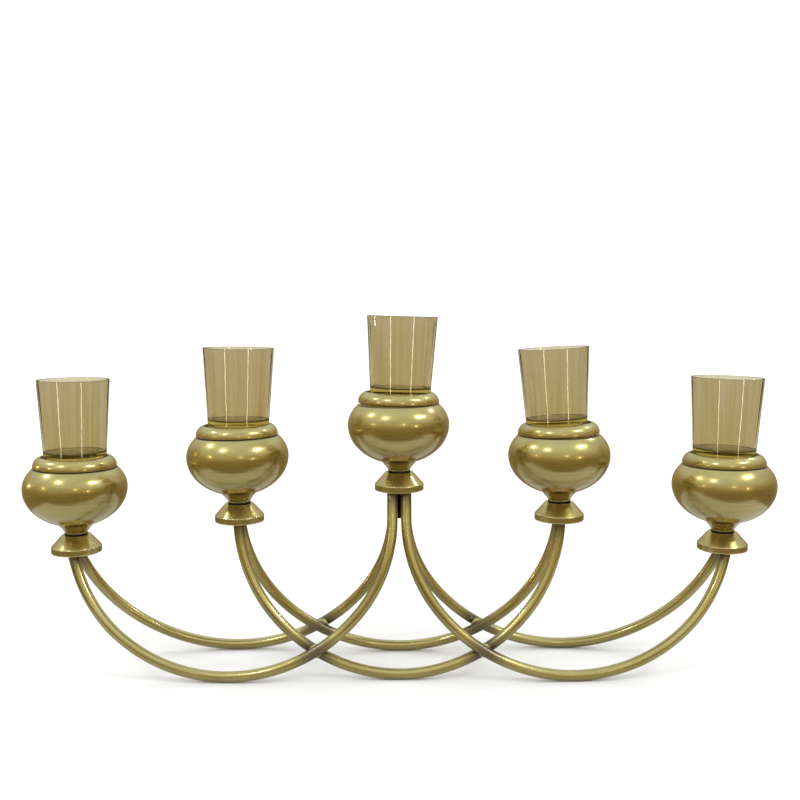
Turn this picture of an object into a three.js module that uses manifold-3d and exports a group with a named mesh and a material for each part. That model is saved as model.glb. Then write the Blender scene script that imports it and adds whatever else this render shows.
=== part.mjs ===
// Tabletop candelabra: six bent brass tubes in three splayed pairs carry a stepped row of five cups.
// Each cup is a turned ferrule, a spun bowl, a drop-in collar and a loose votive glass.
// Millimetres, +Z up, the row of cups along X, the front towards -Y.
// The origin is on the table, under the middle of the row.

import * as THREE from 'three';
import { mergeVertices } from 'three/addons/utils/BufferGeometryUtils.js';
import Module from 'manifold-3d';

// ---- Driving dimensions ----

const CLEARANCE = 0.3;            // left between pieces that touch
const TURN_SIDES = 20;            // facets round the turned pieces
const SMALL_TURN_SIDES = 10;      // facets round washers, plates and studs

// The row of cups: where each one stands, and how high its ferrule's lower edge is.
const CUPS = [
  { name: 'far_left', x: -304, base: 110.5 },
  { name: 'near_left', x: -150, base: 139.5 },
  { name: 'centre', x: 0, base: 168.5 },
  { name: 'near_right', x: 150, base: 139.5 },
  { name: 'far_right', x: 304, base: 110.5 },
];
const [, , CENTRE_CUP, INNER_CUP, OUTER_CUP] = CUPS;

// Bent tubes
const TUBE_R = 5;
const TUBE_SIDES = 8;
const TUBE_STEPS = 32;
const TUBE_TOP = 2.5;             // where a tube's axis ends, above the ferrule's lower edge
const MIDDLE_ARM = {
  mainRadius: 156,                // along the bottom of the curve
  mainHalfTurn: 43,               // degrees of it on each side of the lowest point
  endHeading: 86,                 // degrees from level where the tube meets its ferrule
  endY: 5.5,                      // half the spacing of the pair at the ferrules
  lowY: 38,                       // the same at the lowest point
  bulge: -0.2,                    // above 0 bows the tube out early, below 0 keeps it in
};
const SIDE_ARM = {
  startX: 6.45,                   // half the spacing of the four tubes under the centre cup
  leg: 27.5,                      // straight length below the centre ferrule
  innerRadius: 126,
  innerTurn: 39,
  outerRadius: 136,
  outerTurnStart: 39.7,           // degrees past the lowest point
  endHeading: 70.5,
  endY: 6,
  lowY: 44.2,
  bulge: 0.3,
};

// Ferrule: a turned cone, hollow underneath
const FERRULE_R = 22.9;
const FERRULE_BAND = 5.8;         // height of the cylindrical band at its foot
const FERRULE_CHAMFER = 0.8;
const FERRULE_TOP_R = 13;
const FERRULE_HEIGHT = 17;
const RECESS_R = 17.5;
const RECESS_DEPTH = 8.6;

// Fixings inside each cup
const STUD_R = 3;
const STUD_TOP = 39.5;
const CENTRE_STUD_FOOT = -27;     // the centre stud shows between its four tubes
const HOLE_R = 3.3;
const PLATE = { radius: 15.5, thickness: 3 };
const NECK_WASHER = { radius: 10.4, thickness: 1 };
const NUT_WASHER = { radius: 9, thickness: 1.4 };
const NUT = { acrossFlats: 10, height: 5 };

// Bowl: a squat oval shell on a short neck
const BOWL_R = 47.2;
const BOWL_MIDDLE = 61.5;         // height of the widest line above the ferrule's lower edge
const BOWL_DROP = 36.6;           // half-height of the oval below that line
const BOWL_RISE = 32;             // and above it
const BOWL_WALL = 1.8;
const BOWL_FOOT = FERRULE_HEIGHT + NECK_WASHER.thickness + 2 * CLEARANCE;
const BOWL_TOP = 80.5;
const BOWL_FLOOR = 29.5;
const NECK_R = 10.3;
const NECK_FLARE = { radius: 16.6, bendR: 12, bendHeight: 4.8 };
const MOUTH_R = 34.8;
const LIP = 3;                    // depth of the turned-in lip that carries the collar

// Collar: a rounded ring that drops into the bowl's mouth and holds the glass
const COLLAR_R = 37.8;
const COLLAR_HEIGHT = 10.7;
const SPIGOT_R = MOUTH_R - 0.4;
const SPIGOT_DEPTH = 4.9;
const SPIGOT_WALL = 2.6;
const SEAT_HOLE_R = 30.3;
const SEAT_DEPTH = 3.1;
const LEDGE = { radius: 23.5, thickness: 2 };

// Glass: a tapered tumbler with a thick base
const GLASS_FOOT_R = 28.2;
const GLASS_RIM_R = 32.6;
const GLASS_HEIGHT = 74.2;
const GLASS_WALL = 2;
const GLASS_BASE = 6;
const GLASS_CHAMFER = 1.5;

// Braze fillets where a side arm passes a middle arm
const BRAZE = { reach: 6.5, thickness: 3, sides: 10 };

// ---- Materials ----

const brass = { color: 0x8d7b48, roughness: 0.38, metalness: 1 };
const smokeGlass = { color: 0xb2a073, roughness: 0.05, metalness: 0, transparent: true, opacity: 0.45 };
const blackSteel = { color: 0x1c1b1a, roughness: 0.5, metalness: 0.8 };
const platedSteel = { color: 0x9a9a96, roughness: 0.4, metalness: 1 };
const fibre = { color: 0x15130f, roughness: 0.9, metalness: 0 };
const filler = { color: 0xb59a55, roughness: 0.45, metalness: 1 };

// ---- Helpers ----

const wasm = await Module();
wasm.setup();

const radians = THREE.MathUtils.degToRad;
const candelabra = new THREE.Group();

function addPiece(parent, name, geometry, look) {
  const piece = new THREE.Mesh(geometry, new THREE.MeshStandardMaterial(look));
  piece.name = name;
  parent.add(piece);
  return piece;
}

// Turns an outline of [radius, height] points round the Z axis. The outline runs anticlockwise seen
// with the radius to the right, from axis to axis, or it is a ring that this closes on itself.
function turned(outline, sides = TURN_SIDES) {
  const points = outline.map(([r, z]) => new THREE.Vector2(r, z));
  const onAxis = outline[0][0] === 0;
  if (!onAxis) points.push(points[0].clone());
  return new THREE.LatheGeometry(points, sides).rotateX(Math.PI / 2);
}

function flatRing(innerR, outerR, low, high) {
  return turned([[innerR, low], [outerR, low], [outerR, high], [innerR, high]], SMALL_TURN_SIDES);
}

// Points on an oval round [0, middle], from one angle to another in degrees above the widest line.
function ovalArc(halfWidth, halfHeight, middle, from, to, steps) {
  const points = [];
  for (let i = 0; i <= steps; i += 1) {
    const angle = radians(from + (to - from) * i / steps);
    points.push([halfWidth * Math.cos(angle), middle + halfHeight * Math.sin(angle)]);
  }
  return points;
}

function asSolid(geometry) {
  const bare = geometry.clone();
  bare.deleteAttribute('normal');
  bare.deleteAttribute('uv');
  const merged = mergeVertices(bare, 1e-4);
  return new wasm.Manifold(new wasm.Mesh({
    numProp: 3,
    vertProperties: new Float32Array(merged.attributes.position.array),
    triVerts: new Uint32Array(merged.index.array),
  }));
}

function asGeometry(solid) {
  const mesh = solid.getMesh();
  const geometry = new THREE.BufferGeometry();
  geometry.setAttribute('position', new THREE.BufferAttribute(new Float32Array(mesh.vertProperties), 3));
  geometry.setIndex(Array.from(mesh.triVerts));
  return geometry;
}

// ---- Arms ----

// One bent tube's axis: straight runs and round bends in the XZ plane, bowed out along Y by its
// distance from the line between its ends.
class BentAxis extends THREE.Curve {
  constructor(start, heading, runs, side, arm) {
    super();
    this.start = start;
    this.heading = heading;
    this.runs = runs;
    this.side = side;
    this.arm = arm;
    this.total = runs.reduce((sum, run) => sum + run.length, 0);
    this.end = this.flatPoint(this.total);
    this.deepest = 0;
    for (let i = 0; i <= 200; i += 1) {
      this.deepest = Math.max(this.deepest, this.depth(this.flatPoint(this.total * i / 200)));
    }
  }

  // The point at a distance along the tube, as [x, z].
  flatPoint(distance) {
    let [x, z] = this.start;
    let heading = this.heading;
    let left = distance;
    for (const run of this.runs) {
      const length = Math.min(left, run.length);
      if (run.radius) {
        const next = heading + length / run.radius;
        x += run.radius * (Math.sin(next) - Math.sin(heading));
        z -= run.radius * (Math.cos(next) - Math.cos(heading));
        heading = next;
      } else {
        x += length * Math.cos(heading);
        z += length * Math.sin(heading);
      }
      left -= length;
    }
    return [x, z];
  }

  // How far a point is from the line between the two ends.
  depth([x, z]) {
    const alongX = this.end[0] - this.start[0];
    const alongZ = this.end[1] - this.start[1];
    const across = (x - this.start[0]) * alongZ - (z - this.start[1]) * alongX;
    return Math.abs(across) / Math.hypot(alongX, alongZ);
  }

  getPoint(t, target = new THREE.Vector3()) {
    const flat = this.flatPoint(this.total * t);
    const { endY, lowY, bulge } = this.arm;
    const plane = this.depth(flat) / this.deepest;
    const bowed = Math.sin(plane * Math.PI / 2);
    const y = this.side * (endY + (lowY - endY) * (plane + bulge * (bowed - plane)));
    const mirror = this.arm.mirror ? -1 : 1;
    return target.set(mirror * flat[0], y, flat[1]);
  }
}

const bend = (radius, degrees) => ({ radius, length: radius * radians(degrees) });
const straight = (length) => ({ length });

// From the near left ferrule, down, along the table and up to the near right ferrule.
function middleAxis(side) {
  const { mainRadius, mainHalfTurn, endHeading } = MIDDLE_ARM;
  const main = radians(mainHalfTurn);
  const last = radians(endHeading);
  const bendX = mainRadius * Math.sin(main);
  const endRadius = (INNER_CUP.x - bendX) / (Math.sin(last) - Math.sin(main));
  const bendTop = TUBE_R + mainRadius * (1 - Math.cos(main))
    + endRadius * (Math.cos(main) - Math.cos(last));
  const leg = (INNER_CUP.base + TUBE_TOP - bendTop) / Math.sin(last);
  const startX = -INNER_CUP.x - leg * Math.cos(last);
  const runs = [
    straight(leg),
    bend(endRadius, endHeading - mainHalfTurn),
    bend(mainRadius, 2 * mainHalfTurn),
    bend(endRadius, endHeading - mainHalfTurn),
    straight(leg),
  ];
  return new BentAxis([startX, INNER_CUP.base + TUBE_TOP], -last, runs, side, MIDDLE_ARM);
}

// From the centre ferrule straight down, out along the table and up to the far right ferrule.
// The main radius follows from the height left for it above the table.
function sideAxis(side, mirror) {
  const { startX, leg, innerRadius, innerTurn, outerRadius, outerTurnStart, endHeading } = SIDE_ARM;
  const top = CENTRE_CUP.base + TUBE_TOP;
  const turn = radians(innerTurn);
  const mainRadius = (top - leg - innerRadius * Math.sin(turn) - TUBE_R) / (1 - Math.sin(turn));
  const outerStart = radians(outerTurnStart);
  const last = radians(endHeading);
  const bendTop = TUBE_R + mainRadius * (1 - Math.cos(outerStart))
    + outerRadius * (Math.cos(outerStart) - Math.cos(last));
  const runs = [
    straight(leg),
    bend(innerRadius, innerTurn),
    bend(mainRadius, 90 - innerTurn + outerTurnStart),
    bend(outerRadius, endHeading - outerTurnStart),
    straight((OUTER_CUP.base + TUBE_TOP - bendTop) / Math.sin(last)),
  ];
  return new BentAxis([startX, top], -Math.PI / 2, runs, side, { ...SIDE_ARM, mirror });
}

function tubeAlong(axis) {
  const section = new THREE.Shape().absarc(0, 0, TUBE_R, 0, 2 * Math.PI);
  const options = { steps: TUBE_STEPS, curveSegments: TUBE_SIDES / 2, extrudePath: axis };
  return new THREE.ExtrudeGeometry(section, options);
}

const sides = [{ name: 'front', y: -1 }, { name: 'rear', y: 1 }];
const axes = {};
for (const side of sides) {
  axes[`left_${side.name}`] = sideAxis(side.y, true);
  axes[`middle_${side.name}`] = middleAxis(side.y);
  axes[`right_${side.name}`] = sideAxis(side.y, false);
}
for (const [name, axis] of Object.entries(axes)) {
  addPiece(candelabra, `${name}_arm`, tubeAlong(axis), brass);
}

// ---- Braze fillets ----

// Where two axes pass closest to each other.
function closestPass(first, second) {
  let best = { gap: Infinity };
  for (let i = 0; i <= 160; i += 1) {
    const a = first.getPoint(i / 160);
    for (let j = 0; j <= 160; j += 1) {
      const b = second.getPoint(j / 160);
      const gap = a.distanceTo(b);
      if (gap < best.gap) best = { gap, a, b, i: i / 160, j: j / 160 };
    }
  }
  return best;
}

function shortRod(axis, t) {
  const rod = new THREE.CylinderGeometry(TUBE_R + CLEARANCE, TUBE_R + CLEARANCE, 30, 16);
  const along = axis.getTangent(t);
  rod.applyQuaternion(new THREE.Quaternion().setFromUnitVectors(new THREE.Vector3(0, 1, 0), along));
  const { x, y, z } = axis.getPoint(t);
  return asSolid(rod.translate(x, y, z));
}

function brazeFillet(first, second) {
  const pass = closestPass(first, second);
  const middle = pass.a.clone().add(pass.b).multiplyScalar(0.5);
  const blob = new THREE.SphereGeometry(1, BRAZE.sides, BRAZE.sides / 2 + 1);
  blob.scale(BRAZE.reach, BRAZE.thickness, BRAZE.reach);
  blob.translate(middle.x, middle.y, middle.z);
  const cut = asSolid(blob).subtract(shortRod(first, pass.i)).subtract(shortRod(second, pass.j));
  const pieces = cut.decompose().sort((a, b) => b.volume() - a.volume());
  return asGeometry(pieces[0]);
}

for (const side of sides) {
  for (const flank of ['left', 'right']) {
    const fillet = brazeFillet(axes[`${flank}_${side.name}`], axes[`middle_${side.name}`]);
    addPiece(candelabra, `${flank}_${side.name}_braze`, fillet, filler);
  }
}

// ---- Cups ----

function ferrule() {
  return turned([
    [RECESS_R, 0],
    [FERRULE_R - FERRULE_CHAMFER, 0],
    [FERRULE_R, FERRULE_CHAMFER],
    [FERRULE_R, FERRULE_BAND],
    [FERRULE_TOP_R, FERRULE_HEIGHT],
    [HOLE_R, FERRULE_HEIGHT],
    [HOLE_R, RECESS_DEPTH],
    [RECESS_R, RECESS_DEPTH],
  ]);
}

function stud(foot) {
  return turned([[0, foot], [STUD_R, foot], [STUD_R, STUD_TOP], [0, STUD_TOP]], SMALL_TURN_SIDES);
}

function nut(low) {
  const outline = new THREE.Shape();
  const cornerR = NUT.acrossFlats / 2 / Math.cos(Math.PI / 6);
  for (let i = 0; i < 6; i += 1) {
    const angle = i * Math.PI / 3;
    const corner = [cornerR * Math.cos(angle), cornerR * Math.sin(angle)];
    if (i === 0) outline.moveTo(...corner);
    else outline.lineTo(...corner);
  }
  outline.closePath();
  outline.holes.push(new THREE.Path().absarc(0, 0, HOLE_R, 0, 2 * Math.PI, true));
  const options = { depth: NUT.height, bevelEnabled: false, curveSegments: 4 };
  return new THREE.ExtrudeGeometry(outline, options).translate(0, 0, low);
}

function bowl() {
  const neckEnd = -THREE.MathUtils.radToDeg(Math.acos(NECK_FLARE.radius / BOWL_R));
  const shoulder = THREE.MathUtils.radToDeg(Math.asin((BOWL_TOP - 0.3 - BOWL_MIDDLE) / BOWL_RISE));
  const insideR = BOWL_R - BOWL_WALL;
  const insideDrop = BOWL_DROP - BOWL_WALL;
  const insideRise = BOWL_RISE - BOWL_WALL;
  const lipUnder = BOWL_TOP - LIP;
  const insideTop = THREE.MathUtils.radToDeg(Math.asin((lipUnder - BOWL_MIDDLE) / insideRise));
  const insideFoot = THREE.MathUtils.radToDeg(Math.asin((BOWL_FLOOR - BOWL_MIDDLE) / insideDrop));
  return turned([
    [HOLE_R, BOWL_FOOT],
    [NECK_R, BOWL_FOOT],
    [NECK_FLARE.bendR, BOWL_FOOT + NECK_FLARE.bendHeight],
    ...ovalArc(BOWL_R, BOWL_DROP, BOWL_MIDDLE, neckEnd, 0, 4),
    ...ovalArc(BOWL_R, BOWL_RISE, BOWL_MIDDLE, 0, shoulder, 3).slice(1),
    [MOUTH_R + 2.4, BOWL_TOP],
    [MOUTH_R, BOWL_TOP],
    [MOUTH_R, lipUnder],
    ...ovalArc(insideR, insideRise, BOWL_MIDDLE, insideTop, 0, 2),
    ...ovalArc(insideR, insideDrop, BOWL_MIDDLE, 0, insideFoot, 3).slice(1),
    [HOLE_R, BOWL_FLOOR],
  ]);
}

const COLLAR_FOOT = BOWL_TOP + CLEARANCE;
const COLLAR_TOP = COLLAR_FOOT + COLLAR_HEIGHT;
const SEAT = COLLAR_TOP - SEAT_DEPTH;

function collar() {
  const under = COLLAR_FOOT - SPIGOT_DEPTH;
  const hollowR = SPIGOT_R - SPIGOT_WALL;
  const ledgeUnder = SEAT - LEDGE.thickness;
  return turned([
    [hollowR, under],
    [SPIGOT_R, under],
    [SPIGOT_R, COLLAR_FOOT],
    [COLLAR_R, COLLAR_FOOT],
    [COLLAR_R - 0.3, COLLAR_FOOT + 3],
    [COLLAR_R - 2.2, COLLAR_TOP - 3.6],
    [COLLAR_R - 5, COLLAR_TOP - 1],
    [SEAT_HOLE_R, COLLAR_TOP],
    [SEAT_HOLE_R, SEAT],
    [LEDGE.radius, SEAT],
    [LEDGE.radius, ledgeUnder],
    [hollowR, ledgeUnder],
  ]);
}

function glass() {
  const foot = SEAT + CLEARANCE;
  const rim = foot + GLASS_HEIGHT;
  const floor = foot + GLASS_BASE;
  const taper = (GLASS_RIM_R - GLASS_FOOT_R) / GLASS_HEIGHT;
  const floorR = GLASS_FOOT_R + taper * GLASS_BASE - GLASS_WALL;
  return turned([
    [0, foot],
    [GLASS_FOOT_R - GLASS_CHAMFER, foot],
    [GLASS_FOOT_R, foot + GLASS_CHAMFER],
    [GLASS_RIM_R, rim],
    [GLASS_RIM_R - GLASS_WALL, rim],
    [floorR, floor + GLASS_CHAMFER],
    [floorR - GLASS_CHAMFER, floor],
    [0, floor],
  ]);
}

function addCup({ name, x, base }) {
  const cup = new THREE.Group();
  cup.position.set(x, 0, base);
  candelabra.add(cup);

  const plateTop = RECESS_DEPTH - CLEARANCE;
  const plateFoot = plateTop - PLATE.thickness;
  const washerFoot = FERRULE_HEIGHT + CLEARANCE;
  const nutWasherFoot = BOWL_FLOOR + CLEARANCE;
  const nutFoot = nutWasherFoot + NUT_WASHER.thickness + CLEARANCE;
  const studFoot = name === CENTRE_CUP.name ? CENTRE_STUD_FOOT : plateFoot;
  const plate = flatRing(HOLE_R, PLATE.radius, plateFoot, plateTop);
  const neckWasher = flatRing(HOLE_R, NECK_WASHER.radius, washerFoot, washerFoot + NECK_WASHER.thickness);
  const nutWasher = flatRing(HOLE_R, NUT_WASHER.radius, nutWasherFoot, nutWasherFoot + NUT_WASHER.thickness);

  addPiece(cup, `${name}_tube_plate`, plate, blackSteel);
  addPiece(cup, `${name}_stud`, stud(studFoot), blackSteel);
  addPiece(cup, `${name}_ferrule`, ferrule(), brass);
  addPiece(cup, `${name}_neck_washer`, neckWasher, fibre);
  addPiece(cup, `${name}_bowl`, bowl(), brass);
  addPiece(cup, `${name}_nut_washer`, nutWasher, platedSteel);
  addPiece(cup, `${name}_nut`, nut(nutFoot), platedSteel);
  addPiece(cup, `${name}_collar`, collar(), brass);
  addPiece(cup, `${name}_glass`, glass(), smokeGlass);
}

CUPS.forEach(addCup);

// The facets of the tubes stop just short of their true radius, so the whole object is let down
// onto the table.
candelabra.position.z = -new THREE.Box3().setFromObject(candelabra).min.z;

export default candelabra;
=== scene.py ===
"""Looks of the tabletop candelabra: bent brass tubes, spun brass cups and smoke-glass votives.

Metres, +Z up, the row of cups along X, the front towards -Y. The cups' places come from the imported
frame; the bent tubes repeat the route that their CAD solids follow.
"""

from math import acos, asin, cos, degrees, pi, radians, sin, tan

import bmesh
import bpy
from mathutils import Matrix, Vector


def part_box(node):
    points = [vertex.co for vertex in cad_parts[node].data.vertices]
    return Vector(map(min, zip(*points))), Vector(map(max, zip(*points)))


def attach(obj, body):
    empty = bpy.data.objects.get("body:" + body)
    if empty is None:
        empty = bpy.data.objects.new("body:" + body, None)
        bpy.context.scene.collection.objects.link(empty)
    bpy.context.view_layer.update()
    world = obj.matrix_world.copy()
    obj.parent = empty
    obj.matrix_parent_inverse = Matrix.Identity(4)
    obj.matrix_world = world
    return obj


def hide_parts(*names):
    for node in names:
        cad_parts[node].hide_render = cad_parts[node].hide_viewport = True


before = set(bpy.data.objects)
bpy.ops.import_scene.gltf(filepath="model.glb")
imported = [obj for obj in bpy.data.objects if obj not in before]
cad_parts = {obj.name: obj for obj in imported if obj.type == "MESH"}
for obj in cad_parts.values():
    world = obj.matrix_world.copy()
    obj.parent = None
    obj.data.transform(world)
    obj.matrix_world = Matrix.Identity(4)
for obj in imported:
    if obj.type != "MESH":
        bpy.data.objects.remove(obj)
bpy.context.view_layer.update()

MM = 0.001
CUP_NAMES = ["far_left", "near_left", "centre", "near_right", "far_right"]
SIDES = {"front": -1, "rear": 1}

# ---- Driving dimensions, in millimetres, as in the CAD model ----

TUBE_R = 5
TUBE_SKIN = 4.88              # the faceted CAD tubes lie just inside their circle, and so does this
TUBE_TOP = 2.5                # where a tube's axis ends, above its ferrule's lower edge
INNER_CUP_X = 150
TURNED_SIDES = 128            # facets round a turned piece

FERRULE_R = 22.9
FERRULE_BAND = 5.8
FERRULE_TOP_R = 13
FERRULE_HEIGHT = 17
RECESS_R = 17.5
RECESS_DEPTH = 8.6
HOLE_R = 3.3

BOWL_R = 47.2
BOWL_MIDDLE = 61.5
BOWL_DROP = 36.6
BOWL_RISE = 32
BOWL_WALL = 1.8
BOWL_FOOT = 18.6
BOWL_TOP = 80.5
BOWL_FLOOR = 29.5
NECK_R = 10.3
NECK_END_R = 16.6
NECK_BEND = {"out": 2.2, "up": 4.6}
# A faint painted shade line along the crease where the neck meets the bowl's oval side.
NECK_CREASE = {"fillet": 1.2, "painted_shading": -0.35}
SHOULDER_STEP = 0.9           # how far below the bowl's top its oval side ends
MOUTH_R = 34.8
LIP = 3

COLLAR_FOOT = 80.8
COLLAR_TOP = 91.5
COLLAR_R = 37.8
COLLAR_SHOULDER = {"width": 9.2, "height": 10.0}
SPIGOT_R = 34.4
SPIGOT_WALL = 2.6
SPIGOT_DEPTH = 4.9
SEAT_HOLE_R = 30.3
SEAT = 88.4
LEDGE_R = 23.5
LEDGE = 2

GLASS_FOOT = 88.7
GLASS_FOOT_R = 28.2
GLASS_RIM_R = 32.6
GLASS_HEIGHT = 74.2
GLASS_WALL = 1.3
GLASS_BASE = 6
GLASS_RIBS = 26
GLASS_RIB_DEPTH = 0.05
GLASS_RIB_FADE = {"floor": 8, "rim": 6}
GLASS_CORNER = {"height": 4, "fillet": 3.2}

# The pieces don't sit quite true. For each cup: its pieces' degrees of lean to the right, and for the
# two loose ones also the millimetres that they are to the right of and above their true place. The
# rises keep a leaning piece clear of the seat below it.
SITTING = {
    "far_left": {"bowl": (1.0, 0, 0), "collar": (1.0, 1.0, 0), "glass": (0.3, 1.6, 0.1)},
    "near_left": {"bowl": (-0.8, 0, 0), "collar": (-0.8, -0.9, 0), "glass": (1.0, 0.65, 0.65)},
    "centre": {"bowl": (-0.5, 0, 0), "collar": (1.2, -0.2, 0.8), "glass": (1.8, 1.4, 0.8)},
    "near_right": {"bowl": (-0.9, 0, 0), "collar": (-2.0, -1.3, 0.45), "glass": (-3.1, -3.0, 0.75)},
    "far_right": {"bowl": (0, 0, 0), "collar": (0, -0.4, 0), "glass": (1.4, -0.6, 0.4)},
}

# ---- Camera: in front, about level with the rim of the centre glass and looking slightly down ----

# Millimetres for its place and lens, degrees downwards and clockwise.
CAMERA = {"x": 1.1, "y": -894.5, "z": 334.0, "pitch": 5.2, "roll": 0.25, "lens": 43.5}
SENSOR_WIDTH = 36


def make_camera():
    data = bpy.data.cameras.new("camera")
    data.sensor_width = SENSOR_WIDTH
    data.lens = CAMERA["lens"]
    camera = bpy.data.objects.new("camera", data)
    place = Matrix.Translation(Vector((CAMERA["x"], CAMERA["y"], CAMERA["z"])) * MM)
    tilt = Matrix.Rotation(radians(90 - CAMERA["pitch"]), 4, "X")
    roll = Matrix.Rotation(radians(-CAMERA["roll"]), 4, "Z")
    camera.matrix_world = place @ tilt @ roll
    bpy.context.scene.collection.objects.link(camera)
    bpy.context.scene.camera = camera


make_camera()

# ---- Node helpers ----


def add_node(tree, kind, values=None, **settings):
    """Adds a shader node. A value that is a socket is linked, and any other is set on the input."""
    node = tree.nodes.new(kind)
    for key, value in settings.items():
        setattr(node, key, value)
    for key, value in (values or {}).items():
        if isinstance(value, bpy.types.NodeSocket):
            tree.links.new(value, node.inputs[key])
        else:
            node.inputs[key].default_value = value
    return node


def math_node(tree, operation, first, second=0.0):
    return add_node(tree, "ShaderNodeMath", {0: first, 1: second}, operation=operation).outputs[0]


def noise(tree, vector, scale, detail=2.0, roughness=0.5):
    values = {"Vector": vector, "Scale": scale, "Detail": detail, "Roughness": roughness}
    return add_node(tree, "ShaderNodeTexNoise", values).outputs["Fac"]


def remap(tree, value, low, high, new_low, new_high):
    values = {"Value": value, 1: low, 2: high, 3: new_low, 4: new_high}
    return add_node(tree, "ShaderNodeMapRange", values, clamp=True).outputs["Result"]


def blend_colours(tree, share, first, second, mode="MIX"):
    node = add_node(tree, "ShaderNodeMix", data_type="RGBA", blend_type=mode)
    for index, value in ((0, share), (6, first), (7, second)):
        if isinstance(value, bpy.types.NodeSocket):
            tree.links.new(value, node.inputs[index])
        else:
            node.inputs[index].default_value = value
    return node.outputs[2]


def new_material(name, **uniform):
    material = bpy.data.materials.new(name)
    material.use_nodes = True
    tree = material.node_tree
    shader = tree.nodes["Principled BSDF"]
    for key, value in uniform.items():
        shader.inputs[key.replace("_", " ")].default_value = value
    return material, tree, shader


# ---- Materials ----

BRASS = (0.56, 0.445, 0.145, 1)
BRASS_DEEP = (0.47, 0.355, 0.088, 1)
BRASS_PALE = (0.63, 0.545, 0.28, 1)
# Near black: the patina of smears and specks, and also the painted shade in corners and joins.
PATINA_AND_SHADE = (0.055, 0.037, 0.014, 1)
SMOKE_CLEAR = (0.61, 0.555, 0.42, 1)
SMOKE_GOLD = (0.565, 0.475, 0.265, 1)
SMOKE_RIM = (0.30, 0.27, 0.20, 1)
SMOKE_DEPTH = (0.70, 0.64, 0.02, 1)
SMOKE_DENSITY = 40.0
CONE_SLOPE = 0.83             # how much of its radius a turned piece's brush marks count as length
TARNISH = {"turned": 0.22, "tube": 0.5}


def round_vector(tree, cosine, sine, along, spread, along_scale):
    """Coordinates that don't break where an angle wraps: a circle of one size, and a length."""
    values = {
        "X": math_node(tree, "MULTIPLY", cosine, spread),
        "Y": math_node(tree, "MULTIPLY", sine, spread),
        "Z": math_node(tree, "MULTIPLY", along, along_scale),
    }
    return add_node(tree, "ShaderNodeCombineXYZ", values).outputs[0]


def brushed_brass(name, lines, streaks, place, tarnish):
    """Antique brass. lines and streaks are coordinates: fine brush marks, and broad smears along them.

    tarnish is the most that a smear is darkened, from 0 to 1. The painted_shading attribute lays painted
    highlights on rounded outer edges and painted shade in inner corners, seams and tube joins.
    """
    lacquer = {"Coat_Weight": 1.0, "Coat_Roughness": 0.11, "Coat_IOR": 1.7}
    material, tree, shader = new_material(name, Metallic=1.0, **lacquer)
    fine = noise(tree, lines(tree), 1.0, 3.0, 0.62)
    smear = noise(tree, streaks(tree), 1.0, 2.0)
    cloud = noise(tree, place(tree), 26.0, 4.0, 0.6)
    mottle = noise(tree, place(tree), 48.0, 2.0)
    speck = noise(tree, place(tree), 420.0, 2.0)
    shading = add_node(tree, "ShaderNodeAttribute", attribute_name="painted_shading").outputs["Fac"]

    tone = blend_colours(tree, remap(tree, cloud, 0.32, 0.68, 0, 1), BRASS_DEEP, BRASS)
    tone = blend_colours(tree, remap(tree, smear, 0.45, 0.75, 0, 0.35), tone, BRASS_PALE)
    tone = blend_colours(tree, remap(tree, fine, 0.25, 0.75, 0.0, 0.14), tone, BRASS_DEEP)
    tone = blend_colours(tree, remap(tree, smear, 0.28, 0.52, tarnish, 0), tone, PATINA_AND_SHADE)
    tone = blend_colours(tree, remap(tree, mottle, 0.42, 0.66, 0, 0.4), tone, BRASS_DEEP)
    tone = blend_colours(tree, remap(tree, speck, 0.68, 0.76, 0, 0.35), tone, PATINA_AND_SHADE)
    # Painted highlight: paler on rounded outer edges.
    tone = blend_colours(tree, remap(tree, shading, 0.0, 1.0, 0, 0.6), tone, BRASS_PALE)
    # Painted shade: near black in rounded inner corners, seams and creases, and on the tubes at their ends
    # and crossings; rougher there too.
    dark = math_node(tree, "MULTIPLY", shading, -1.0)
    tone = blend_colours(tree, remap(tree, dark, 0.0, 1.0, 0, 0.95), tone, PATINA_AND_SHADE)
    tree.links.new(tone, shader.inputs["Base Color"])

    brushed = remap(tree, fine, 0.2, 0.8, 0.20, 0.26)
    clouded = remap(tree, mottle, 0.35, 0.65, 0, 0.06)
    shaded_rough = remap(tree, dark, 0.0, 1.0, 0, 0.25)
    rough = math_node(tree, "ADD", math_node(tree, "ADD", brushed, clouded), shaded_rough)
    tree.links.new(rough, shader.inputs["Roughness"])

    brush = add_node(tree, "ShaderNodeBump", {"Height": fine, "Strength": 0.03, "Distance": 0.0002})
    values = {"Height": smear, "Strength": 0.03, "Distance": 0.0008, "Normal": brush.outputs[0]}
    tree.links.new(add_node(tree, "ShaderNodeBump", values).outputs[0], shader.inputs["Normal"])
    return material


def object_place(tree):
    return add_node(tree, "ShaderNodeTexCoord").outputs["Object"]


def turned_coordinates(spread, along_scale):
    """Round the piece's own axis: long marks round it, and short ones up and outwards."""
    def make(tree):
        parts = add_node(tree, "ShaderNodeSeparateXYZ", {0: object_place(tree)}).outputs
        squares = [math_node(tree, "POWER", part, 2.0) for part in parts[:2]]
        radius = math_node(tree, "MAXIMUM", math_node(tree, "SQRT", math_node(tree, "ADD", *squares)), 0.0001)
        cosine = math_node(tree, "DIVIDE", parts[0], radius)
        sine = math_node(tree, "DIVIDE", parts[1], radius)
        along = math_node(tree, "ADD", parts[2], math_node(tree, "MULTIPLY", radius, CONE_SLOPE))
        return round_vector(tree, cosine, sine, along, spread, along_scale)
    return make


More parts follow.
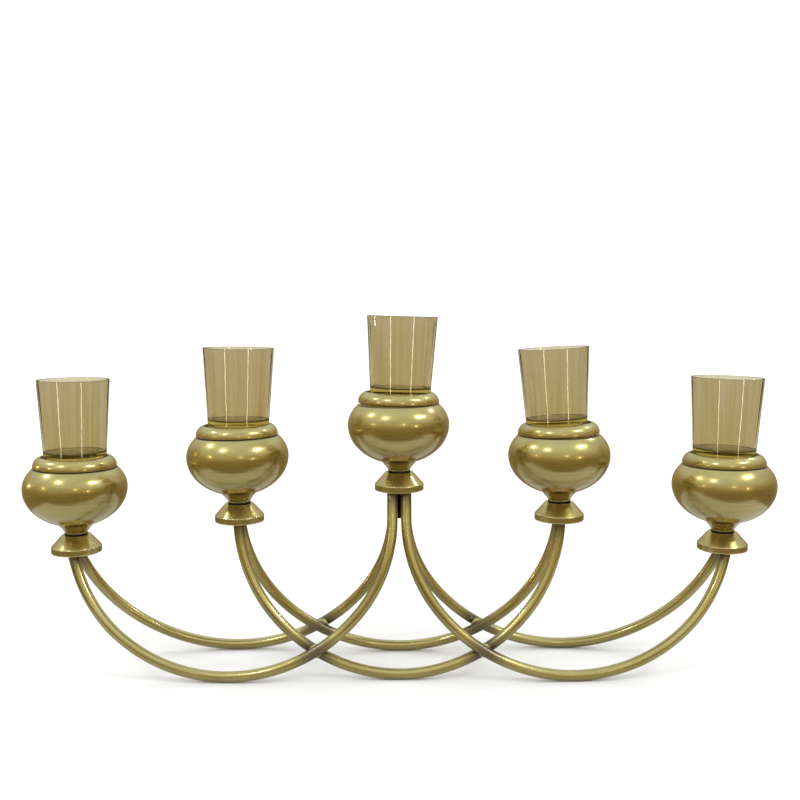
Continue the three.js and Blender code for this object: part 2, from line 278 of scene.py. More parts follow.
def tube_coordinates(spread, along_scale):
    """Along a tube: its UV map holds the distance along it in metres and the turn round it."""
    def make(tree):
        uv = add_node(tree, "ShaderNodeUVMap", uv_map="UVMap").outputs[0]
        parts = add_node(tree, "ShaderNodeSeparateXYZ", {0: uv}).outputs
        turn = math_node(tree, "MULTIPLY", parts[1], 2 * pi)
        cosine = math_node(tree, "COSINE", turn)
        sine = math_node(tree, "SINE", turn)
        return round_vector(tree, cosine, sine, parts[0], spread, along_scale)
    return make


def make_turned_brass():
    lines, streaks = turned_coordinates(1.6, 5200), turned_coordinates(1.2, 420)
    return brushed_brass("turned_brass", lines, streaks, object_place, TARNISH["turned"])


def make_tube_brass():
    lines, streaks = tube_coordinates(9.0, 45), tube_coordinates(1.3, 14)
    return brushed_brass("tube_brass", lines, streaks, object_place, TARNISH["tube"])


def make_braze():
    material, tree, shader = new_material("braze_filler", Metallic=1.0)
    cloud = noise(tree, object_place(tree), 380.0, 3.0)
    tone = blend_colours(tree, remap(tree, cloud, 0.35, 0.65, 0, 1), BRASS_DEEP, BRASS_PALE)
    tree.links.new(tone, shader.inputs["Base Color"])
    tree.links.new(remap(tree, cloud, 0.3, 0.7, 0.28, 0.5), shader.inputs["Roughness"])
    bump = add_node(tree, "ShaderNodeBump", {"Height": cloud, "Strength": 0.3, "Distance": 0.0004})
    tree.links.new(bump.outputs[0], shader.inputs["Normal"])
    return material


def make_smoke_glass():
    """Smoke-amber glass: a tint in the walls that darkens a thick base, with painted light in its colour:
    golden upright bands, a golden tint low down that is a painted reflection of the brass, and a painted dark
    rim line.
    """
    material, tree, shader = new_material("smoke_glass", IOR=1.5, Transmission_Weight=1.0)
    # Painted light: soft golden upright bands that stand in for the glints and bands that the optic ribs draw
    # out.
    streak = noise(tree, turned_coordinates(9.0, 9)(tree), 1.0, 2.0)
    height = add_node(tree, "ShaderNodeSeparateXYZ", {0: object_place(tree)}).outputs[2]
    # Painted reflection of the brass collar: more golden towards the bottom.
    painted_collar_reflection = remap(tree, height, GLASS_FOOT * MM, (GLASS_FOOT + GLASS_HEIGHT) * MM, 0.30, -0.15)
    gold_share = math_node(tree, "ADD", remap(tree, streak, 0.4, 0.65, 0, 0.7), painted_collar_reflection)
    tone = blend_colours(tree, gold_share, SMOKE_CLEAR, SMOKE_GOLD)
    shading = add_node(tree, "ShaderNodeAttribute", attribute_name="painted_shading").outputs["Fac"]
    # Painted dark line on the rounded edges of the rim and foot.
    tone = blend_colours(tree, remap(tree, shading, 0.0, 1.0, 0, 0.6), tone, SMOKE_RIM)
    tree.links.new(tone, shader.inputs["Base Color"])
    ripple = noise(tree, object_place(tree), 90.0)
    tree.links.new(remap(tree, ripple, 0.4, 0.7, 0.0, 0.03), shader.inputs["Roughness"])
    depth = add_node(tree, "ShaderNodeVolumeAbsorption", {"Color": SMOKE_DEPTH, "Density": SMOKE_DENSITY})
    tree.links.new(depth.outputs[0], tree.nodes["Material Output"].inputs["Volume"])
    return material


def plain_metal(name, dark, light, metallic, rough_low, rough_high):
    material, tree, shader = new_material(name, Metallic=metallic)
    cloud = noise(tree, object_place(tree), 240.0, 4.0)
    tree.links.new(blend_colours(tree, cloud, dark, light), shader.inputs["Base Color"])
    tree.links.new(remap(tree, cloud, 0.3, 0.7, rough_low, rough_high), shader.inputs["Roughness"])
    return material


turned_brass = make_turned_brass()
tube_brass = make_tube_brass()
braze_filler = make_braze()
smoke_glass = make_smoke_glass()
black_steel = plain_metal("black_steel", (0.008, 0.008, 0.009, 1), (0.035, 0.033, 0.03, 1), 0.9, 0.25, 0.45)
plated_steel = plain_metal("plated_steel", (0.42, 0.42, 0.40, 1), (0.62, 0.62, 0.58, 1), 1.0, 0.25, 0.4)
black_fibre = plain_metal("black_fibre", (0.006, 0.005, 0.004, 1), (0.02, 0.017, 0.014, 1), 0.0, 0.7, 0.9)

# ---- Mesh helpers ----

FILLET_STEPS = 4
FILLET_LIMIT = 0.45           # the most of a neighbouring side that a fillet may take up
FADE = 0.9                    # how far beyond a fillet its painted shading fades out
FADE_ROOM = 2.5               # how many times that a side has to be to hold a fading point
ON_AXIS = 1e-6


def link_mesh(name, vertices, faces, material, painted_shading=None, sharp=40):
    mesh = bpy.data.meshes.new(name)
    mesh.from_pydata(vertices, [], faces)
    mesh.shade_smooth()
    mesh.set_sharp_from_angle(angle=radians(sharp))
    if painted_shading:
        attribute = mesh.attributes.new("painted_shading", "FLOAT", "POINT")
        attribute.data.foreach_set("value", painted_shading)
    mesh.materials.append(material)
    piece = bpy.data.objects.new(name, mesh)
    bpy.context.scene.collection.objects.link(piece)
    return piece


def rounded(outline, closed):
    """Rounds the corners of an outline of (radius, height), maybe with a fillet and its painted shading,
    points.

    Returns (radius, height, painted shading) points. Unless given, the painted shading is 1 on a rounded
    outer edge, where brass gets a painted highlight and glass a painted dark line, -1 in a rounded inner
    corner, where it paints shade, and 0 elsewhere, with a point close by on each side so that it fades
    quickly.
    """
    points = []
    count = len(outline)
    for index, corner in enumerate(outline):
        r, z = corner[:2]
        fillet = corner[2] if len(corner) > 2 else 0
        inside = closed or 0 < index < count - 1
        if not fillet or not inside:
            points.append((r, z, 0.0))
            continue
        here = Vector((r, z))
        back = Vector(outline[index - 1][:2]) - here
        ahead = Vector(outline[(index + 1) % count][:2]) - here
        half = back.angle(ahead) / 2
        reach = min(fillet / tan(half), FILLET_LIMIT * back.length, FILLET_LIMIT * ahead.length)
        radius = reach * tan(half)
        turn = back.x * ahead.y - back.y * ahead.x
        # A convex corner gets 1 (painted highlight on brass, painted dark line on glass), a concave one -1
        # (painted shade).
        painted_shading = corner[3] if len(corner) > 3 else (1.0 if turn < 0 else -1.0)
        first = here + back.normalized() * reach
        last = here + ahead.normalized() * reach
        centre = here + (back.normalized() + ahead.normalized()).normalized() * radius / sin(half)
        if back.length > FADE_ROOM * (reach + FADE):
            points.append((*(here + back.normalized() * (reach + FADE)), 0.0))
        for step in range(FILLET_STEPS + 1):
            spoke = (first - centre).lerp(last - centre, step / FILLET_STEPS).normalized() * radius
            points.append((*(centre + spoke), painted_shading))
        if ahead.length > FADE_ROOM * (reach + FADE):
            points.append((*(here + ahead.normalized() * (reach + FADE)), 0.0))
    return points


def turned(name, outline, material, closed=False, sides=TURNED_SIDES, shape=None, sharp=40):
    """Turns an outline in millimetres round Z. shape, if given, changes a radius by its angle and height."""
    points = rounded(outline, closed)
    vertices, painted_shading, rings = [], [], []
    for r, z, shading in points:
        ring = []
        for side in range(1 if r < ON_AXIS else sides):
            angle = 2 * pi * side / sides
            radius = shape(r, z, angle) if shape else r
            ring.append(len(vertices))
            vertices.append((radius * cos(angle) * MM, radius * sin(angle) * MM, z * MM))
            painted_shading.append(shading)
        rings.append(ring)
    if closed:
        rings.append(rings[0])
    faces = []
    for low, high in zip(rings, rings[1:]):
        for side in range(sides):
            following = (side + 1) % sides
            if len(low) == 1:
                faces.append((low[0], high[following], high[side]))
            elif len(high) == 1:
                faces.append((low[side], low[following], high[0]))
            else:
                faces.append((low[side], low[following], high[following], high[side]))
    return link_mesh(name, vertices, faces, material, painted_shading, sharp)


def oval_arc(half_width, half_height, middle, start, end, steps):
    points = []
    for step in range(steps + 1):
        angle = radians(start + (end - start) * step / steps)
        points.append((half_width * cos(angle), middle + half_height * sin(angle)))
    return points


def curve_through(start, bend, end, steps):
    """Points on a smooth curve from start to end that leans towards bend."""
    points = []
    for step in range(steps + 1):
        t = step / steps
        along = [(1 - t) ** 2 * a + 2 * t * (1 - t) * b + t * t * c for a, b, c in zip(start, bend, end)]
        points.append(tuple(along))
    return points


def set_askew(piece, sitting, pivot_height):
    """Tips a piece sideways about the height that it sits at, and moves it right and up."""
    degrees_right, right, rise = sitting
    pivot = Matrix.Translation((0, 0, pivot_height * MM))
    tip = Matrix.Rotation(radians(degrees_right), 4, "Y")
    move = Matrix.Translation((right * MM, 0, rise * MM))
    piece.data.transform(move @ pivot @ tip @ pivot.inverted())


# ---- Turned pieces of a cup, each round its own axis, heights above the ferrule's lower edge ----


def make_ferrule(name):
    return turned(name, [
        (RECESS_R, 0, 0.5),
        (FERRULE_R, 0, 1.1),
        (FERRULE_R, FERRULE_BAND, 0.9),
        (FERRULE_TOP_R, FERRULE_HEIGHT, 0.9),
        (HOLE_R, FERRULE_HEIGHT),
        (HOLE_R, RECESS_DEPTH),
        (RECESS_R, RECESS_DEPTH, 1.2),
    ], turned_brass, closed=True)


def make_bowl(name):
    neck_end = -degrees(acos(NECK_END_R / BOWL_R))
    shoulder = degrees(asin((BOWL_TOP - SHOULDER_STEP - BOWL_MIDDLE) / BOWL_RISE))
    inside_r, inside_drop, inside_rise = BOWL_R - BOWL_WALL, BOWL_DROP - BOWL_WALL, BOWL_RISE - BOWL_WALL
    lip_under = BOWL_TOP - LIP
    inside_top = degrees(asin((lip_under - BOWL_MIDDLE) / inside_rise))
    inside_foot = degrees(asin((BOWL_FLOOR - BOWL_MIDDLE) / inside_drop))
    neck_end_height = BOWL_MIDDLE + BOWL_DROP * sin(radians(neck_end))
    neck_start = (NECK_R, BOWL_FOOT + 0.8)
    neck_bend = (NECK_R + NECK_BEND["out"], BOWL_FOOT + NECK_BEND["up"])
    neck = curve_through(neck_start, neck_bend, (NECK_END_R, neck_end_height), 10)
    shoulder_r = BOWL_R * cos(radians(shoulder))
    return turned(name, [
        (HOLE_R, BOWL_FOOT),
        (NECK_R, BOWL_FOOT, 0.4),
        *neck[:-1],
        (NECK_END_R, neck_end_height, NECK_CREASE["fillet"], NECK_CREASE["painted_shading"]),
        *oval_arc(BOWL_R, BOWL_DROP, BOWL_MIDDLE, neck_end, 0, 30)[1:],
        *oval_arc(BOWL_R, BOWL_RISE, BOWL_MIDDLE, 0, shoulder, 18)[1:],
        # Painted shade in the corner where the collar sits on the bowl.
        (shoulder_r - 1.0, BOWL_TOP, 0.5, -1),
        (MOUTH_R, BOWL_TOP, 0.4),
        (MOUTH_R, lip_under, 0.4),
        *oval_arc(inside_r, inside_rise, BOWL_MIDDLE, inside_top, 0, 10),
        *oval_arc(inside_r, inside_drop, BOWL_MIDDLE, 0, inside_foot, 18)[1:],
        (HOLE_R, BOWL_FLOOR),
    ], turned_brass, closed=True)


def make_collar(name):
    under = COLLAR_FOOT - SPIGOT_DEPTH
    hollow_r = SPIGOT_R - SPIGOT_WALL
    width, height = COLLAR_SHOULDER["width"], COLLAR_SHOULDER["height"]
    hole_turn = degrees(acos((SEAT_HOLE_R - COLLAR_R + width) / width))
    arc = oval_arc(width, height, COLLAR_TOP - height, 4, hole_turn, 14)
    shoulder = [(COLLAR_R - width + r, z) for r, z in arc]
    hole_edge_height = shoulder[-1][1]
    return turned(name, [
        (hollow_r, under, 0.4),
        (SPIGOT_R, under, 0.5),
        (SPIGOT_R, COLLAR_FOOT, 0.2),
        # Painted shade in the seam over the bowl, and a painted highlight on the bevel just above it.
        (COLLAR_R - 0.6, COLLAR_FOOT, 0.3, -1),
        (COLLAR_R, COLLAR_FOOT + 0.8, 0.3, 0.4),
        *shoulder[:-2],
        (SEAT_HOLE_R, hole_edge_height, 0.9),
        (SEAT_HOLE_R, SEAT, 0.4),
        (LEDGE_R, SEAT, 0.5),
        (LEDGE_R, SEAT - LEDGE, 0.5),
        (hollow_r, SEAT - LEDGE, 1.0),
    ], turned_brass, closed=True)


def make_glass(name, degrees_off_true, rise):
    """A tumbler, made shorter by what its lean and rise would add to its height."""
    rim = GLASS_FOOT + GLASS_HEIGHT - rise - GLASS_RIM_R * sin(radians(abs(degrees_off_true)))
    floor = GLASS_FOOT + GLASS_BASE
    taper = (GLASS_RIM_R - GLASS_FOOT_R) / (rim - GLASS_FOOT)
    floor_r = GLASS_FOOT_R + taper * GLASS_BASE - GLASS_WALL

    def ribbed(r, z, angle):
        """Shallow optic ribs on the inside wall only, fading out at the floor and the rim."""
        outer = GLASS_FOOT_R + taper * (z - GLASS_FOOT)
        if z < floor + 0.5 or r > outer - 0.6 * GLASS_WALL:
            return r
        fade = min(1.0, (z - floor) / GLASS_RIB_FADE["floor"], (rim - z) / GLASS_RIB_FADE["rim"])
        return r + GLASS_RIB_DEPTH * fade * cos(GLASS_RIBS * angle)

    wall_steps = 16
    mouth_r, mouth = GLASS_RIM_R - GLASS_WALL, rim - 1.2
    inside = []
    for step in range(wall_steps + 1):
        t = step / wall_steps
        height = mouth + (floor + GLASS_CORNER["height"] - mouth) * t
        inside.append((mouth_r + (floor_r - mouth_r) * t, height))
    return turned(name, [
        (0, GLASS_FOOT + 0.8),
        (GLASS_FOOT_R - 6, GLASS_FOOT + 0.6, 1.0),
        (GLASS_FOOT_R - 4, GLASS_FOOT, 0.8),
        (GLASS_FOOT_R - 0.2, GLASS_FOOT, 1.6),
        (GLASS_RIM_R, rim - 0.6),
        (GLASS_RIM_R - 0.1, rim, 0.9),
        (mouth_r, rim, 0.9),
        *inside,
        (floor_r - 0.3, floor, GLASS_CORNER["fillet"]),
        (0, floor - 0.4),
    ], smoke_glass, sides=8 * GLASS_RIBS, shape=ribbed, sharp=60)


def flat_ring(name, node, material):
    """A washer or plate that fills the box of its CAD node, with softened edges."""
    low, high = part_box(node)
    origin = cup_origin(node)
    radius = (high.y - low.y) / 2 / MM
    foot, top = (low.z - origin.z) / MM, (high.z - origin.z) / MM
    edge = 0.25 * (top - foot)
    outline = [(HOLE_R, foot), (radius, foot, edge), (radius, top, edge), (HOLE_R, top)]
    return turned(name, outline, material, closed=True, sides=64)


def make_nut(name, node):
    """A hexagon nut with chamfered corners."""
    low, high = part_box(node)
    origin = cup_origin(node)
    foot, top = (low.z - origin.z) / MM, (high.z - origin.z) / MM
    flat = (high.y - low.y) / 2 / MM

    def hexagon(r, z, angle):
        if r < flat * 0.9:
            return r
        sector = (angle + pi / 6) % (pi / 3) - pi / 6       # the turn from the nearest corner
        side = flat / cos(sector - (pi / 6 if sector > 0 else -pi / 6))
        chamfer = flat * 0.97 + min(z - foot, top - z) * 1.9
        return min(side, chamfer, r * 1.2)

    levels = [foot + (top - foot) * share for share in (0, 0.06, 0.12, 0.2, 0.35, 0.65, 0.8, 0.88, 0.94, 1)]
    outline = [(HOLE_R, foot), *[(flat, z) for z in levels], (HOLE_R, top)]
    return turned(name, outline, plated_steel, closed=True, sides=96, shape=hexagon, sharp=25)


def make_stud(name, node):
    """A stud with a real helical thread of 1 mm pitch, blunt at both ends."""
    low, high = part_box(node)
    origin = cup_origin(node)
    foot, top = (low.z - origin.z) / MM, (high.z - origin.z) / MM
    radius = (high.y - low.y) / 2 / MM
    pitch, depth, steps = 1.0, 0.5, 6
    blunting = 1.2 * depth

    def threaded(r, z, angle):
        if r < radius * 0.9:
            return r
        phase = (z / pitch - angle / (2 * pi)) % 1.0
        ridge = radius - depth * abs(2 * phase - 1)
        end = min(z - foot, top - z)
        return min(ridge, radius - blunting + end)

    levels = int((top - foot) / pitch * steps)
    side = [(radius, foot + (top - foot) * level / levels) for level in range(levels + 1)]
    return turned(name, [(0, foot), *side, (0, top)], black_steel, sides=28, shape=threaded, sharp=25)


# ---- Where each cup stands ----


def cup_origin(node):
    """The axis and lower edge of the ferrule of the cup that a node or cup name belongs to."""
    cup = next(name for name in CUP_NAMES if node.startswith(name))
    low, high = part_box(f"{cup}_ferrule")
    return Vector(((low.x + high.x) / 2, (low.y + high.y) / 2, low.z))


def settle(piece, node, body):
    """Puts a piece made round its own axis where its cup is, in place of a CAD node."""
    piece.location = cup_origin(node)
    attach(piece, body)
    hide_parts(node)
    return piece


def build_cup(cup):
    ferrule = f"{cup}_ferrule"
    bowl = f"{cup}_bowl"
    stud = f"{cup}_stud"
    nut = f"{cup}_nut"
    collar = f"{cup}_collar"
    glass = f"{cup}_glass"
    settle(make_ferrule(f"{cup}_turned_ferrule"), ferrule, "root")
    settle(make_stud(f"{cup}_threaded_stud", stud), stud, "root")
    settle(make_nut(f"{cup}_hex_nut", nut), nut, "root")
    rings = [("tube_plate", black_steel, "black_steel"), ("neck_washer", black_fibre, "black_fibre"),
             ("nut_washer", plated_steel, "plated_steel")]
    for kind, material, slot in rings:
        node = f"{cup}_{kind}"
        settle(flat_ring(f"{cup}_round_{kind}", node, material), node, "root")

    sitting = SITTING[cup]
    bowl_piece = make_bowl(f"{cup}_spun_bowl")
    set_askew(bowl_piece, sitting["bowl"], BOWL_FOOT)
    settle(bowl_piece, bowl, "root")
    collar_piece = make_collar(f"{cup}_rounded_collar")
    set_askew(collar_piece, sitting["collar"], COLLAR_FOOT)
    settle(collar_piece, collar, collar)
    degrees_off_true, _, rise = sitting["glass"]
    glass_piece = make_glass(f"{cup}_votive_glass", degrees_off_true, rise)
    set_askew(glass_piece, sitting["glass"], GLASS_FOOT)
    settle(glass_piece, glass, glass)
    return glass_piece


glasses = [build_cup(cup_name) for cup_name in CUP_NAMES]

# ---- Bent tubes: the same bends as in the CAD model ----

MIDDLE_ARM = {
    "main_radius": 156, "main_half_turn": 43, "end_heading": 86,
    "end_y": 5.5, "low_y": 38, "bulge": -0.2,
}
SIDE_ARM = {
    "start_x": 6.45, "leg": 27.5, "inner_radius": 126, "inner_turn": 39,
    "outer_radius": 136, "outer_turn_start": 39.7, "end_heading": 70.5,
    "end_y": 6, "low_y": 44.2, "bulge": 0.3,
}
TUBE_SIDES = 48
TUBE_STATIONS = 240
OUTER_FERRULE_FOOT = 110.5    # as the CAD model's own heights count it

# How far the CAD model lets the whole object down, so that its faceted tubes touch the table.
SETTLING = OUTER_FERRULE_FOOT - cup_origin("far_left").z / MM


def bent_run(radius, turn):
    return (radius, radius * radians(turn))


def straight_run(length):
    return (None, length)


def walk(start, heading, runs, distance):
    """The point [x, z] at a distance along straight and bent runs."""
    x, z = start
    for radius, length in runs:
        step = min(distance, length)
        if radius is None:
            x += step * cos(heading)
            z += step * sin(heading)
        else:
            following = heading + step / radius
            x += radius * (sin(following) - sin(heading))
            z -= radius * (cos(following) - cos(heading))
            heading = following
        distance -= step
    return x, z


def base_height(cup):
    """A ferrule's lower edge as the CAD model's own heights count it, in millimetres."""
    return cup_origin(cup).z / MM + SETTLING


def middle_runs():
    arm = MIDDLE_ARM
    main, last = radians(arm["main_half_turn"]), radians(arm["end_heading"])
    bend_x = arm["main_radius"] * sin(main)
    end_radius = (INNER_CUP_X - bend_x) / (sin(last) - sin(main))
    bend_top = TUBE_R + arm["main_radius"] * (1 - cos(main)) + end_radius * (cos(main) - cos(last))
    top = base_height("near_right") + TUBE_TOP
    leg = (top - bend_top) / sin(last)
    turn = arm["end_heading"] - arm["main_half_turn"]
    runs = [
        straight_run(leg),
        bent_run(end_radius, turn),
        bent_run(arm["main_radius"], 2 * arm["main_half_turn"]),
        bent_run(end_radius, turn),
        straight_run(leg),
    ]
    return (-INNER_CUP_X - leg * cos(last), top), -last, runs


def side_runs():
    arm = SIDE_ARM
    top = base_height("centre") + TUBE_TOP
    turn, outer_start, last = (radians(arm[key]) for key in ("inner_turn", "outer_turn_start", "end_heading"))
    main_radius = (top - arm["leg"] - arm["inner_radius"] * sin(turn) - TUBE_R) / (1 - sin(turn))
    outer_rise = arm["outer_radius"] * (cos(outer_start) - cos(last))
    bend_top = TUBE_R + main_radius * (1 - cos(outer_start)) + outer_rise
    runs = [
        straight_run(arm["leg"]),
        bent_run(arm["inner_radius"], arm["inner_turn"]),
        bent_run(main_radius, 90 - arm["inner_turn"] + arm["outer_turn_start"]),
        bent_run(arm["outer_radius"], arm["end_heading"] - arm["outer_turn_start"]),
        straight_run((base_height("far_right") + TUBE_TOP - bend_top) / sin(last)),
    ]
    return (arm["start_x"], top), -pi / 2, runs


def axis_points(flank, side):
    """A tube's axis in metres: its flat route, bowed out along Y by its distance from the chord."""
    arm = MIDDLE_ARM if flank == "middle" else SIDE_ARM
    start, heading, runs = middle_runs() if flank == "middle" else side_runs()
    total = sum(length for _, length in runs)
    flat = [walk(start, heading, runs, total * i / TUBE_STATIONS) for i in range(TUBE_STATIONS + 1)]
    chord = Vector(flat[-1]) - Vector(flat[0])
    depths = [abs((x - flat[0][0]) * chord.y - (z - flat[0][1]) * chord.x) / chord.length for x, z in flat]
    mirror = -1 if flank == "left" else 1
    points = []
    for (x, z), depth in zip(flat, depths):
        plane = depth / max(depths)
        bowed = plane + arm["bulge"] * (sin(plane * pi / 2) - plane)
        y = side * (arm["end_y"] + (arm["low_y"] - arm["end_y"]) * bowed)
        points.append(Vector((mirror * x, y, z - SETTLING)) * MM)
    return points


def sweep_tube(name, axis, shade_at):
    """A round tube along an axis. shade_at(point) is how dark its painted shade is there, from 0 to 1."""
    vertices, painted_shading, turns = [], [], []
    tangents = [(b - a).normalized() for a, b in zip(axis, axis[1:])]
    tangents = [tangents[0], *[(a + b).normalized() for a, b in zip(tangents, tangents[1:])], tangents[-1]]
    across = tangents[0].orthogonal().normalized()
    for point, tangent in zip(axis, tangents):
        across = (across - tangent * across.dot(tangent)).normalized()
        up = tangent.cross(across)
        for side in range(TUBE_SIDES):
            angle = 2 * pi * side / TUBE_SIDES
            spoke = across * cos(angle) + up * sin(angle)
            vertices.append(point + spoke * TUBE_SKIN * MM)
            painted_shading.append(-shade_at(vertices[-1]))
    stations = len(axis)
    faces = []
    for station in range(stations - 1):
        for side in range(TUBE_SIDES):
            following = (side + 1) % TUBE_SIDES
            low, high = station * TUBE_SIDES, (station + 1) * TUBE_SIDES
            faces.append((low + side, low + following, high + following, high + side))
            turns.append((station, side))
    faces.append(tuple(range(TUBE_SIDES - 1, -1, -1)))
    faces.append(tuple(range((stations - 1) * TUBE_SIDES, stations * TUBE_SIDES)))
    tube = link_mesh(name, vertices, faces, tube_brass, painted_shading)
    spacing = (axis[1] - axis[0]).length
    uv = tube.data.uv_layers.new(name="UVMap")
    for polygon, (station, side) in zip(tube.data.polygons, turns):
        corners = [(0, 0), (0, 1), (1, 1), (1, 0)]
        for loop, (ahead, around) in zip(polygon.loop_indices, corners):
            uv.data[loop].uv = ((station + ahead) * spacing, (side + around) / TUBE_SIDES)
    return tube


def closest_pass(first, second):
    gap, i, j = min(((a - b).length, i, j) for i, a in enumerate(first) for j, b in enumerate(second))
    return (first[i] + second[j]) / 2, i, j


FLANKS = ["left", "middle", "right"]
axes = {(flank, side): axis_points(flank, y) for side, y in SIDES.items() for flank in FLANKS}
crossings = {}
for (flank, side), axis in axes.items():
    if flank != "middle":
        crossings[flank, side] = closest_pass(axis, axes["middle", side])

# How far and how strongly the painted shade spreads from the tube ends and crossings.
SHADE_REACH = 0.026
SHADE_STRENGTH = 1.3


def shade_near(places):
    """Makes a function that says how dark the painted shade is at a point: 1 at the places, 0 out of reach.
    """
    def shade_at(point):
        nearest = min((point - place).length for place in places)
        return min(1.0, SHADE_STRENGTH * max(0.0, 1 - nearest / SHADE_REACH))
    return shade_at


for (flank, side), axis in axes.items():
    # Painted shade where each tube goes up under its ferrules and where the tubes cross.
    dark_spots = [axis[0], axis[-1], *[spot for spot, _, _ in crossings.values()]]
    arm = sweep_tube(f"{flank}_{side}_bent_tube", axis, shade_near(dark_spots))
    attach(arm, "root")
    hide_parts(f"{flank}_{side}_arm")

# ---- Braze fillets ----

BRAZE_REACH = 6.5
BRAZE_THICKNESS = 3.0
BRAZE_VOXEL = 0.3
ROD_LENGTH = 30


def cut_away(piece, cutter):
    """Subtracts one mesh from another and deletes the cutter."""
    modifier = piece.modifiers.new("cut", "BOOLEAN")
    modifier.operation = "DIFFERENCE"
    modifier.object = cutter
    modifier.solver = "EXACT"
    bake_modifiers(piece)
    bpy.data.objects.remove(cutter)


def bake_modifiers(piece):
    evaluated = piece.evaluated_get(bpy.context.evaluated_depsgraph_get())
    mesh = bpy.data.meshes.new_from_object(evaluated)
    piece.modifiers.clear()
    piece.data = mesh


def rod_along(axis, index):
    """A short stretch of a tube, a hair thicker than it."""
    tangent = (axis[index + 1] - axis[index - 1]).normalized()
    bm = bmesh.new()
    place = Matrix.Translation(axis[index]) @ tangent.to_track_quat("Z", "Y").to_matrix().to_4x4()
    bmesh.ops.create_cone(bm, cap_ends=True, segments=64, radius1=TUBE_R * MM,
                          radius2=TUBE_R * MM, depth=ROD_LENGTH * MM, matrix=place)
    mesh = bpy.data.meshes.new("rod")
    bm.to_mesh(mesh)
    bm.free()
    rod = bpy.data.objects.new("rod", mesh)
    bpy.context.scene.collection.objects.link(rod)
    return rod


def make_braze_fillet(name, crossing, side_axis, middle_axis):
    middle, i, j = crossing
    bm = bmesh.new()
    scale = Matrix.Diagonal((BRAZE_REACH * MM, BRAZE_THICKNESS * MM, BRAZE_REACH * MM, 1))
    place = Matrix.Translation(middle) @ scale
    bmesh.ops.create_uvsphere(bm, u_segments=48, v_segments=32, radius=1, matrix=place)
    mesh = bpy.data.meshes.new(name)
    bm.to_mesh(mesh)
    bm.free()
    mesh.materials.append(braze_filler)
    fillet = bpy.data.objects.new(name, mesh)
    bpy.context.scene.collection.objects.link(fillet)
    cut_away(fillet, rod_along(side_axis, i))
    cut_away(fillet, rod_along(middle_axis, j))
    remesh = fillet.modifiers.new("even", "REMESH")
    remesh.mode = "VOXEL"
    remesh.voxel_size = BRAZE_VOXEL * MM
    smooth = fillet.modifiers.new("soft", "SMOOTH")
    smooth.factor = 0.5
    smooth.iterations = 6
    bake_modifiers(fillet)
    fillet.data.shade_smooth()
    if not fillet.data.materials:
        fillet.data.materials.append(braze_filler)
    return fillet


for (flank, side), crossing in crossings.items():
    fillet = make_braze_fillet(f"{flank}_{side}_fillet", crossing, axes[flank, side], axes["middle", side])
    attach(fillet, "root")
    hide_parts(f"{flank}_{side}_braze")

# ---- Floor, lights and surroundings ----

TABLE = {"half_width": 0.56, "half_depth": 0.225}
LAMP_DISTANCE = 2.6
AIM = Vector((0, 0, 0.2))     # where every lamp points
PAPER_STRENGTH = 1.2          # how bright the white surroundings are


def seen_directly(tree):
    """1 for a ray from the eye or through glass, and 0 for any other."""
    rays = add_node(tree, "ShaderNodeLightPath").outputs
    return math_node(tree, "MAXIMUM", rays["Is Camera Ray"], rays["Is Transmission Ray"])


def make_floor():
    """A pale table top, no bigger than the object needs, so that the brass mirrors the room beyond it.

    Seen directly or through a glass it is white. In reflections it is a duller grey.
    """
    width, depth = TABLE["half_width"], TABLE["half_depth"]
    corners = [(-width, -depth, 0), (width, -depth, 0), (width, depth, 0), (-width, depth, 0)]
    material, tree, shader = new_material("floor", Roughness=0.8, Specular_IOR_Level=0.2)
    grain = noise(tree, object_place(tree), 3.0)
    white = blend_colours(tree, grain, (0.87, 0.87, 0.865, 1), (0.90, 0.90, 0.895, 1))
    grey = blend_colours(tree, grain, (0.42, 0.43, 0.41, 1), (0.48, 0.49, 0.47, 1))
    tree.links.new(blend_colours(tree, seen_directly(tree), grey, white), shader.inputs["Base Color"])
    link_mesh("floor", corners, [(0, 1, 2, 3)], material)


def make_lamp(name, azimuth, elevation, size, power, colour, length=None):
    """A round lamp, or a long upright one, that faces the object."""
    data = bpy.data.lights.new(name, "AREA")
    data.shape = "RECTANGLE" if length else "DISK"
    data.size = size
    data.size_y = length or size
    data.energy = power
    data.color = colour
    level = cos(radians(elevation)) * LAMP_DISTANCE
    height = sin(radians(elevation)) * LAMP_DISTANCE
    place = Vector((level * sin(radians(azimuth)), -level * cos(radians(azimuth)), height))
    lamp = bpy.data.objects.new(name, data)
    lamp.location = place
    lamp.rotation_euler = (AIM - place).to_track_quat("-Z", "Y").to_euler()
    bpy.context.scene.collection.objects.link(lamp)
    return lamp


# Small ceiling lamps that show as glints on the bowls: azimuth from the front (left is below 0),
# elevation, size and power.
COOL_LAMPS = [
    (-86, 47, 0.17, 4),
    (-38, 48, 0.17, 4),
    (59, 48, 0.24, 6),
    (72, 46, 0.14, 2.4),
    (116, 44, 0.15, 3.2),
]
WARM_LAMPS = [
    (12, 24, 0.10, 0.8),
    (-60, 20, 0.10, 0.9),
    (-100, 12, 0.12, 1.6),
    (40, 14, 0.12, 1.0),
]
COOL = (0.90, 0.97, 1.0)
WARM = (1.0, 0.86, 0.60)
GLASS_STRIPS = {"azimuths": [-38, 38], "elevation": 12, "width": 0.12, "length": 2.6, "power": 14}


def make_lamps():
    for index, lamp in enumerate(COOL_LAMPS):
        make_lamp(f"cool_lamp_{index}", *lamp, COOL)
    for index, lamp in enumerate(WARM_LAMPS):
        make_lamp(f"warm_lamp_{index}", *lamp, WARM)


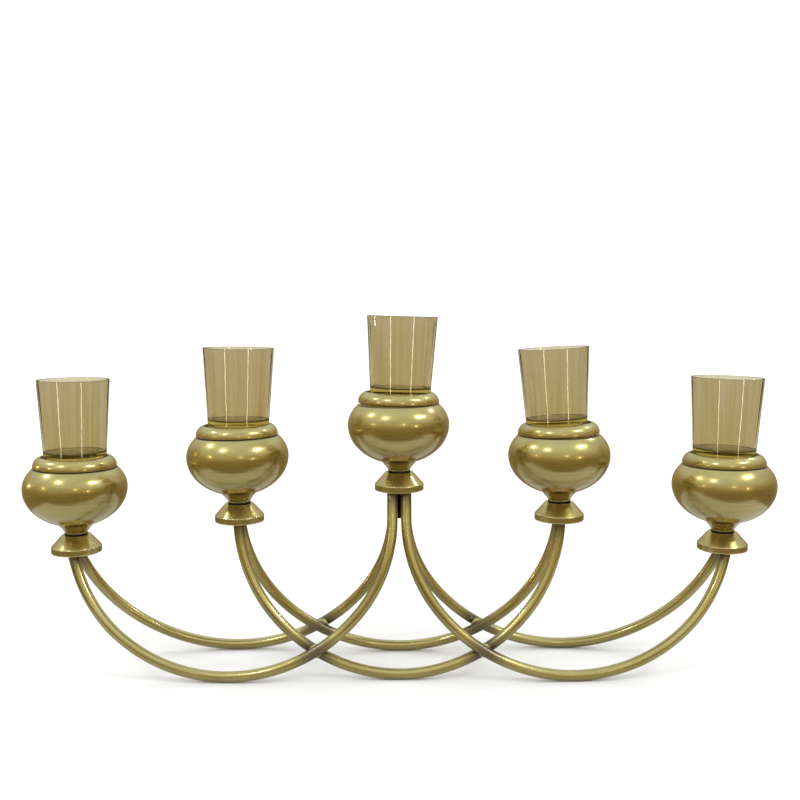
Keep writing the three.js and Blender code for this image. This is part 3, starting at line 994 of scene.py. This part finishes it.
def light_glass_streaks(glasses):
    """Upright strips that light only the glasses and aren't seen through them.

    They stand in for ceiling lamps that the glasses' rippled walls draw out into lines.
    """
    receivers = bpy.data.collections.new("lit_by_glass_strips")
    for piece in glasses:
        receivers.objects.link(piece)
    for azimuth in GLASS_STRIPS["azimuths"]:
        strip = make_lamp(f"glass_strip_{azimuth}", azimuth, GLASS_STRIPS["elevation"], GLASS_STRIPS["width"],
                          GLASS_STRIPS["power"], WARM, GLASS_STRIPS["length"])
        strip.light_linking.receiver_collection = receivers
        strip.visible_transmission = False


# What the brass mirrors, by the height of the direction: from straight down to straight up.
ROOM = [
    (-1.0, (0.22, 0.17, 0.10)),
    (-0.30, (0.26, 0.20, 0.09)),
    (0.0, (0.34, 0.26, 0.12)),
    (0.22, (0.52, 0.44, 0.26)),
    (0.50, (0.74, 0.80, 0.74)),
    (1.0, (0.86, 0.97, 0.98)),
]


def make_surroundings():
    """White to the eye, through glass and on the table; in mirrors, a dim warm room with a pale ceiling."""
    world = bpy.data.worlds.new("studio")
    bpy.context.scene.world = world
    world.use_nodes = True
    tree = world.node_tree
    tree.nodes.clear()
    direction = add_node(tree, "ShaderNodeTexCoord").outputs["Generated"]
    height = add_node(tree, "ShaderNodeSeparateXYZ", {0: direction}).outputs[2]
    ramp = add_node(tree, "ShaderNodeValToRGB", {0: remap(tree, height, -1.0, 1.0, 0, 1)})
    elements = ramp.color_ramp.elements
    for _ in ROOM[2:]:
        elements.new(0.5)
    for element, (level, colour) in zip(elements, ROOM):
        element.position = (level + 1) / 2
        element.color = (*colour, 1)
    rays = add_node(tree, "ShaderNodeLightPath").outputs
    mirrored = add_node(tree, "ShaderNodeBackground", {"Color": ramp.outputs[0], "Strength": 1.0})
    white = add_node(tree, "ShaderNodeBackground", {"Color": (1, 1, 1, 1), "Strength": PAPER_STRENGTH})
    not_mirrored = math_node(tree, "SUBTRACT", 1.0, rays["Is Glossy Ray"])
    through_glass = math_node(tree, "MAXIMUM", rays["Is Transmission Ray"], rays["Transmission Depth"])
    share = math_node(tree, "MINIMUM", math_node(tree, "MAXIMUM", not_mirrored, through_glass), 1.0)
    mixed = add_node(tree, "ShaderNodeMixShader", {0: share, 1: mirrored.outputs[0], 2: white.outputs[0]})
    tree.links.new(mixed.outputs[0], add_node(tree, "ShaderNodeOutputWorld").inputs["Surface"])


make_floor()
make_lamps()
light_glass_streaks(glasses)
make_surroundings()
bpy.context.scene.view_settings.view_transform = "Standard"
